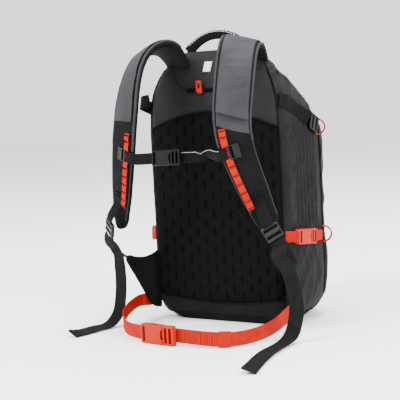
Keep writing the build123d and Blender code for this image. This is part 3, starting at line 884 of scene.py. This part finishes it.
# ---------- webbing and locks
WEBBING, NARROW, IN_LOCK = 25, 20, 24.6  # widths
LADDER_CENTRE = vec(171, -181, 187)
LADDER_Z = unit(vec(0.55, -0.83, -0.08))
LADDER_X = vec(0.75, 0.45, 0.48)
LADDER_X = unit(LADDER_X - LADDER_Z * (LADDER_X @ LADDER_Z))
LADDER_Y = np.cross(LADDER_Z, LADDER_X)


def below_lock(down, out):
    """A point under the right ladder lock."""
    return LADDER_CENTRE - LADDER_Y * (13.5 + down) + LADDER_Z * out


LEFT_TAIL = [
    (-158, -184, 146), (-154, -180, 116), (-155, -178, 86), (-160, -177, 50), (-170, -179, 20),
    (-178, -191, 7), (-183, -215, 5.6), (-187, -245, 5.4), (-194, -276, 5.4),
]
RIGHT_TAIL = [
    (182, -183, 148), (191, -176, 128), (200, -172, 98), (205, -171, 65), (204, -174, 38),
    (200, -185, 14), (198, -208, 6), (202, -260, 5.4), (215, -322, 5.4), (234, -385, 5.4),
]


def folded_tip(row, up):
    """The fold at the end of a tail, rolled back on itself."""
    p, side, out, along = row
    rows = [(p + side * x + out * 1.3 * up, along, out, side) for x in np.linspace(-12.3, 12.3, 9)]
    return sweep(rows, lambda t: oval(4.5, 2.3, 16))


def build_tail(side, path, facing):
    """A free strap end, from its ladder lock to the floor, with a folded tip."""
    rows = stations(path, facing, 160)
    piece(f"tail_{side}_web", ribbon(rows, WEBBING), TAIL, [f"strap_tail_{side}"])
    up = 1 if rows[-1][2][2] > 0 else -1
    hem = [ribbon(rows[-9:], IN_LOCK, 1.2, 1.5 * up), folded_tip(rows[-1], up)]
    piece(f"tail_{side}_hem", join_parts(hem), TAIL)
    piece(f"tail_{side}_stitch", bar_tack(rows[-8], 21, 2.2 * up, 1.6, 10), BLACK)


def build_tails():
    """Both tails, which don't lie the same way."""
    start = [below_lock(3.5, 2.4), below_lock(9, 3.8)]
    facing = [-mirrored(LADDER_X), vec(1, 0, -0.1), level(0), level(-4, 0.2), level(-14, 0.34)]
    build_tail("left", [mirrored(v) for v in start] + LEFT_TAIL, facing)
    facing = [LADDER_X, vec(0.86, 0.5, 0.1), level(28), level(14, 0.2), level(20, 0.34)]
    build_tail("right", start + RIGHT_TAIL, facing)


def inside_lock(centre, along, across):
    """The webbing that passes through a lock, which turns with it."""
    rows = stations([centre - along * 11, centre, centre + along * 11], [across, across], 12)
    return ribbon(rows, IN_LOCK, 2.2)


def build_lock_webbing(sign):
    """The tab that carries a ladder lock and the fixed webbing below it."""
    side, turn = sided(sign)
    top = LADDER_CENTRE + LADDER_Y * 11.5
    path = [over_pad(sign, 30.2, 0, 1.4), over_pad(sign, 31.5, 0, 1.6)]
    path += [top + LADDER_Y * 8 + LADDER_Z * 1.5, top + LADDER_Z * 2.4]
    facing = SHOULDERS[sign][120][1]
    rows = stations(path, [facing, facing, LADDER_X], 40)
    piece(f"tab_{side}_web", turn(ribbon(rows, NARROW)), STRAP, [f"ladder_tab_{side}"])
    inside = turn(inside_lock(LADDER_CENTRE - LADDER_Z * 0.6, LADDER_Y, LADDER_X))
    piece(f"lock_{side}_web", inside, STRAP, body=f"ladder_lock_{side}")
    piece(f"tab_{side}_tack", turn(bar_tack(rows[3], 17, 1.2, 3, 8)), BLACK)
    path = [below_lock(-4, -1.4), below_lock(1, -2.4), below_lock(8, -3.5), vec(176.8, -131.2, 124)]
    lower = turn(ribbon(stations(path, [LADDER_X, LADDER_X, level(15)], 40), WEBBING))
    piece(f"lower_{side}_web", lower, STRAP, [f"lower_webbing_{side}"])


# ---------- hip belt
HIP_O, HIP_X = vec(-6, -270, 17.6), unit(vec(1, -0.10, 0))
HIP_Z = unit(vec(0, -1, 0) - HIP_X * (vec(0, -1, 0) @ HIP_X))


def gathered(rows, up):
    """Frames that rise and fall, like webbing sewn down at short intervals."""
    pitch, depth = 6.5, 0.5
    lengths = run_lengths([p for p, _, _, _ in rows])
    return [
        (p + o * up * depth * abs(math.sin(math.pi * at / pitch)), side, o, a)
        for at, (p, side, o, a) in zip(lengths, rows)
    ]


def rib_line(row, lift):
    """One row of stitching across the belt, in a darker red that is also painted shade between the gathered
    ribs.
    """
    p, side, out, _ = row
    return tube([p + side * x + out * lift for x in np.linspace(-12, 12, 7)], 0.45, 5)


def build_belt_left():
    """The belt from the left fin to the buckle's socket, and its rows of stitching, which are also painted
    shade between the ribs.
    """
    path = [(-152, -87, 36), (-160, -106, 38), (-156, -135, 38), (-144, -180, 32), (-130, -211, 23)]
    path += [(-106, -233, 15.5), (-78, -249, 15), tuple(HIP_O - HIP_X * 40)]
    rows = stations(path, [vec(0.25, 0.1, 1), vec(0.2, -0.3, 1), UP, UP], 220)
    front = 1 if rows[150][2] @ HIP_Z > 0 else -1
    rows = gathered(rows[:118], front) + rows[118:]
    piece("belt_left_web", ribbon(rows, WEBBING), RED, ["hip_webbing_left"])
    return [rib_line(rows[k], lift) for k in range(24, 118, 6) for lift in (-1.0, 1.0)]


def build_belt_right():
    """The belt from the plug to the right fin, doubled near the plug, with its keeper."""
    start, straight = [HIP_O + HIP_X * x - HIP_Z * 8.2 for x in (10, 66)]
    path = [tuple(start), tuple((start + straight) / 2), tuple(straight), (112, -250, 14)]
    path += [(140, -215, 14.5), (154, -165, 20), (157, -130, 28), (158, -106, 36), (152, -87, 37)]
    rows = stations(path, [UP, UP, UP, vec(-0.1, 0.1, 1)], 440)
    front = 1 if rows[80][2] @ HIP_Z > 0 else -1
    double = ribbon(gathered(rows[16:182], front), 24.4, 1.0, 1.3 * front)
    belt = join_parts([ribbon(rows, WEBBING), double])
    piece("belt_right_web", belt, RED, ["hip_webbing_right"])
    lo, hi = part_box("hip_keeper")
    centre = vec(*((lo + hi) / 2)) / MM
    near = min(range(len(rows)), key=lambda i: np.linalg.norm(rows[i][0] - centre))
    sleeve = sweep(rows[near - 15 : near + 16], lambda t: band_profile(28, 5.0, edge=1.2))
    piece("keeper_web", sleeve, RED, ["hip_keeper"])
    return [rib_line(rows[k], 1.95 * front) for k in range(20, 182, 6)]


def soft_line(xs, zs, across):
    """An edge through the points with its corners rounded off, as (x, z) pairs."""
    return np.stack([across, smoothed(np.interp(across, xs, zs), 12)], 1)


FIN_ROOT, FIN_OUT = vec(140, -80, 0), unit(vec(0.584, -0.811, 0))


def on_fin(across, height):
    """A point in a fin's middle plane."""
    return FIN_ROOT + FIN_OUT * across + vec(0, 0, height)


def fin_face(upper, lower, face):
    """One padded face of a fin. face is 1 or -1."""
    rows = []
    for t in np.linspace(0, 1, 40):
        row = []
        for low, high in zip(lower, upper):
            a, b = low + (high - low) * t
            deep = 4.2 * (1 - abs(2 * t - 1) ** 4) ** 0.5 * min(1, (61.5 - a) / 8) ** 0.5
            q = on_fin(a, b)
            wrinkle = 0.7 * creases(q, (0.3, -0.3, 0.8), 50, 15, 8) * (1 - abs(2 * t - 1))
            row.append(q + np.cross(FIN_OUT, UP) * face * (deep + wrinkle))
        rows.append(row)
    return np.array(rows)


def build_fins():
    """The padded hip fins, bound along their edge."""
    across = np.linspace(-4, 61, 46)
    upper = soft_line([-4, 10, 26, 44, 56, 61], [131, 123, 119, 121, 127, 124], across)
    lower = soft_line([-4, 8, 18, 29, 44, 55, 61], [22, 23, 30, 54, 84, 104, 117], across)
    both = np.concatenate([fin_face(upper, lower, 1), fin_face(upper, lower, -1)[::-1]])
    edge = [on_fin(a, b) for a, b in np.concatenate([upper, lower[::-1]])]
    for sign in (1, -1):
        side, turn = sided(sign)
        cloth = turn(grid_mesh(both, wrap=True, caps=True))
        fin = piece(f"fin_{side}_cloth", cloth, BLACK, [f"hip_fin_{side}"])
        piece(f"fin_{side}_binding", turn(tube(edge, 1.5, 6)), BAND)


# ---------- other webbing
STERNUM_O, STERNUM_X = vec(-14, -205, 316), unit(vec(1, 0.02, 0.03))
STERNUM_Z = unit(vec(0, -1, 0.1) - STERNUM_X * (vec(0, -1, 0.1) @ STERNUM_X))


def build_sternum():
    """The chest strap's two lengths."""
    end = STERNUM_O - STERNUM_X * 32.6
    upright = vec(0, 0.1, 1)
    path = [mirrored(over_pad(-1, 24, a, b)) for a, b in ((-17.5, 1.8), (-30, 2.4))]
    path += [end - STERNUM_X * 9, end]
    along = mirrored(-SHOULDERS[-1][96][3])
    left = ribbon(stations(path, [along, upright, upright], 60), NARROW)
    piece("sternum_left_web", left, STRAP, ["sternum_webbing_left"])
    path = [STERNUM_O + STERNUM_X * a - STERNUM_Z * 6.56 for a in (8, 30, 52)] + [vec(76, -208, 321)]
    path += [over_pad(1, 24, -30, 2.4), over_pad(1, 24, -17.5, 1.8)]
    along = -SHOULDERS[1][96][3]
    rows = stations(path, [upright, upright, upright, vec(0, -0.9, 0.45), along, along, along], 90)
    piece("sternum_right_web", ribbon(rows, NARROW), STRAP, ["sternum_webbing_right"])
    line = [stitches(rows[6:80], 7.6, s * 0.9) for s in (1, -1)]
    piece("sternum_stitching", join_parts(line), THREAD)


SIDE_O, SIDE_X = vec(159.4, -31, 158.5), unit(vec(0.115, 0.993, -0.10))
SIDE_Z = unit(vec(0.993, -0.115, 0) - SIDE_X * (vec(0.993, -0.115, 0) @ SIDE_X))


def half_ring(origin, across, out):
    """Frames round a standing loop of webbing, which is a little more than half a circle."""
    rows, radius, reach = [], 14.0, 0.58 * math.pi
    for a in np.linspace(-reach, reach, 40):
        r = across * math.cos(a) + out * math.sin(a)
        w = -across * math.sin(a) + out * math.cos(a)
        side = np.cross(r, w)
        rows.append((origin + r * radius, side, np.cross(w, side), w))
    return rows


def build_side_straps(sign):
    """The red lower strap and black upper strap of one side."""
    side, turn = sided(sign)
    path = [(140, -79, 163.5), (147.5, -73, 163), SIDE_O - SIDE_X * 33]
    rear = ribbon(stations(path, [UP, UP], 40), NARROW)
    path = [SIDE_O + SIDE_X * 8 - SIDE_Z * 5.8, (157, 0, 155.6), (157.6, 18, 153.6), (156, 34, 152)]
    front = ribbon(stations(path, [UP, UP], 40), NARROW)
    web = turn(join_parts([rear, front]))
    piece(f"side_{side}_web", web, RED, [f"side_webbing_{side}"])
    if sign > 0:
        path = [(138, -76, 406), (143.8, -56, 400), (145, -38, 390), (152, -18, 378), (159, -6, 370)]
    else:
        path = [(136, -80, 414), (150, -88, 412), (157, -79, 410), (153, -54, 400)]
        path += [(153, -30, 388), (159, -6, 370)]
    along = unit(vec(0.1, 1, -0.55))
    inside = inside_lock(vec(160, 9, 360), along, np.cross(along, vec(0.97, 0.20, -0.04)))
    piece(f"upper_lock_{side}_web", turn(inside), STRAP, body=f"upper_buckle_{side}")
    upper = turn(ribbon(stations(path, [vec(0, 0.3, 1), vec(0.05, 0.3, 1)], 90), WEBBING))
    piece(f"upper_{side}_web", upper, STRAP, [f"upper_webbing_{side}"])


def build_ski_loops():
    """The four webbing loops that stand out of the sides."""
    out = unit(vec(0.86, 0.51, 0))
    for name, centre, width in (("lower", vec(160.5, 31, 155), 8), ("upper", vec(157, 28, 352), 5)):
        loop = ribbon(half_ring(centre, out, UP), width, 2.8)
        loops = join_parts([loop, flipped(loop)])
        piece(f"{name}_loops_web", loops, RED, [f"{name}_ski_loops"])


# ---------- small hardware
def build_handle():
    """The padded haul handle with a stitched outer edge."""
    p = np.array([vec(63 * x, HANDLE_Y, 501 + 28 * (1 - abs(x) ** 2.1)) for x in np.linspace(-1, 1, 90)])
    rows = []
    for q, w in zip(p, np.gradient(p, axis=0)):
        w = unit(w)
        side = np.cross(vec(0, 1, 0), w)
        rows.append((q, side, np.cross(w, side), w))
    grip = sweep(rows, lambda t: oval(8.2 + 2.6 * abs(2 * t - 1) ** 3, 3.4, 20, 0.6, 0.8))
    handle = piece("handle_cloth", grip, BLACK, ["haul_handle"], "haul_handle")
    up = 1 if rows[45][1][2] > 0 else -1
    line = [stitches(rows[4:-4], 6.0 * up, lift, 6.0, 3.6, 0.7) for lift in (3.0, -3.0)]
    piece("handle_stitching", join_parts(line), THREAD, body="haul_handle")


def build_patch():
    """A blank woven patch with a sewn border."""
    normal, centre = unit(vec(0, -0.9, 0.42)), vec(-8, -73.6, 471)
    width, height = 16, 20
    right, up = vec(1, 0, 0), np.cross(normal, vec(1, 0, 0))
    p = np.zeros((width + 1, height + 1, 3))
    for i, j in np.ndindex(p.shape[:2]):
        x, z = i - width / 2, j - height / 2
        edge = min(1, (8.2 - abs(x)) / 0.8, (10.2 - abs(z)) / 0.8)
        lift = 0.5 + 0.7 * edge + 0.15 * lumps((x, 0, z), 5)
        p[i, j] = centre + right * x + up * z + normal * lift
    piece("patch_cloth", thick(p, 1.0), LABEL, ["name_patch"])
    border = []
    for x in (-6.9, 6.9):
        rows = [(centre + up * z + right * x, right, normal, up) for z in (-9, 0, 9)]
        border.append(stitches(rows, 0, 1.25, 2.0, 1.3, 0.18))
    piece("patch_stitching", join_parts(border), THREAD)


def build_zip(node, centre, out, half, count):
    """A closed coil zip on its tape, across the bag."""
    along = vec(1, 0, 0)
    side = np.cross(out, along)
    places = np.linspace(-half, half, 20)
    rows = [(centre + along * t, side, np.cross(along, side), along) for t in places]
    parts = [ribbon(rows, 9, 0.9)]
    for k in range(count):
        t = -half + 2 * half * (k + 0.5) / count
        lean = 0.5 if k % 2 else -0.5
        a = centre + along * (t - 0.3) - side * 2.2 + out * 0.8
        b = centre + along * (t + 0.3) + side * 2.2 + out * 0.8
        parts.append(tube([a, (a + b) / 2 + out * 0.7 + side * lean, b], 0.5, 5))
    piece(f"{node}_teeth", join_parts(parts), COIL, [node])


# ---------- CAD surfaces
def paint(material, *nodes):
    """Gives a CAD node a material."""
    for n in nodes:
        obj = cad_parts[n]
        obj.data.materials.clear()
        obj.data.materials.append(material)


def build_hard_parts():
    """Moulded pieces keep their CAD shape."""
    paint(RED_PLASTIC, "yoke_zip_slider", "pocket_zip_slider", "hip_socket", "hip_plug", "trigger_handle")
    for side in ("left", "right"):
        paint(RED_PLASTIC, f"side_socket_{side}", f"side_plug_{side}")
        paint(BLACK_PLASTIC, f"ladder_lock_{side}", f"upper_buckle_{side}")
    paint(BLACK_PLASTIC, "sternum_anchors", "sternum_socket", "sternum_plug", "trigger_cable")
    paint(SHEET, "frame_sheet")
    paint(AIRBAG, "airbag")
    paint(PAINT, "gas_cylinder")
    paint(ALLOY, "inflator")
    paint(STEEL, "firing_lever")


# ---------- camera, light
def build_camera():
    """A long lens, turned a little so that the bag sits where it should."""
    az, el, roll, distance = math.radians(31), math.radians(5), math.radians(-2.9), 2100
    back = vec(math.sin(az) * math.cos(el), -math.cos(az) * math.cos(el), math.sin(el))
    middle = UP * BAG_HEIGHT / 2
    eye = middle + back * distance
    right = unit(np.cross(-back, UP))
    up = np.cross(right, -back)
    turned = right * math.cos(roll) + up * math.sin(roll)
    up = up * math.cos(roll) - right * math.sin(roll)
    aim = middle - turned * 71.9 - up * 31.0
    back = unit(eye - aim)
    right = unit(np.cross(up, back))
    up = np.cross(back, right)
    camera = bpy.data.objects.new("camera", bpy.data.cameras.new("camera"))
    camera.data.lens = 99.9
    camera.data.sensor_width = 36
    camera.matrix_world = Matrix(
        [[right[i], up[i], back[i], eye[i] * MM] for i in range(3)] + [[0, 0, 0, 1]]
    )
    bpy.context.scene.collection.objects.link(camera)
    bpy.context.scene.camera = camera


def area_light(name, place, size, power):
    """A square soft light aimed at the middle of the bag."""
    middle = Vector((0, 0, BAG_HEIGHT / 2 * MM))
    data = bpy.data.lights.new(name, "AREA")
    data.size = size
    data.energy = power
    light = bpy.data.objects.new(name, data)
    light.location = place
    light.rotation_euler = (middle - Vector(place)).to_track_quat("-Z", "Y").to_euler()
    bpy.context.scene.collection.objects.link(light)


def build_studio():
    """A pale floor in a white room with large soft lights."""
    half = 6000.0
    corners = [vec(x * half, y * half, 0) for x, y in ((-1, -1), (1, -1), (1, 1), (-1, 1))]
    floor = make_object("floor", corners, [[0, 1, 2, 3]])
    paper = new_material("floor_paper", "#F7F7F7", 0.9)
    paper.node_tree.nodes["Principled BSDF"].inputs["Base Color"].default_value = (0.9, 0.9, 0.9, 1)
    floor.data.materials.append(paper)
    world = bpy.data.worlds.new("white_room")
    world.use_nodes = True
    room = world.node_tree.nodes["Background"].inputs
    room["Color"].default_value = (1, 1, 1, 1)
    room["Strength"].default_value = 1.8
    bpy.context.scene.world = world
    area_light("key", (-1.4, -2.2, 2.4), 1.2, 200)
    area_light("side", (2.6, -0.6, 1.6), 1.2, 100)
    area_light("top", (0.3, 0.4, 2.8), 1.6, 150)


# ---------- all
build_camera()
build_studio()
build_back()
for sign in (1, -1):
    build_side(sign)
build_front()
build_seams()
for sign in (1, -1):
    build_shoulder(sign)
    build_lock_webbing(sign)
    build_side_straps(sign)
build_tails()
# rows of stitching across both belts, dark enough to be painted shade between the ribs as well
ribs = build_belt_left() + build_belt_right()
piece("belt_stitching_rib_shade", join_parts(ribs), RED_THREAD_RIB_SHADE)
build_fins()
build_sternum()
build_ski_loops()
build_handle()
build_patch()
build_zip("yoke_zip", vec(0, -85.8, 429), vec(0, -1, 0), 49, 60)
build_zip("pocket_zip", vec(0, 105.4, ZIP_HEIGHT), vec(0, 1, 0), 66, 80)
build_hard_parts()
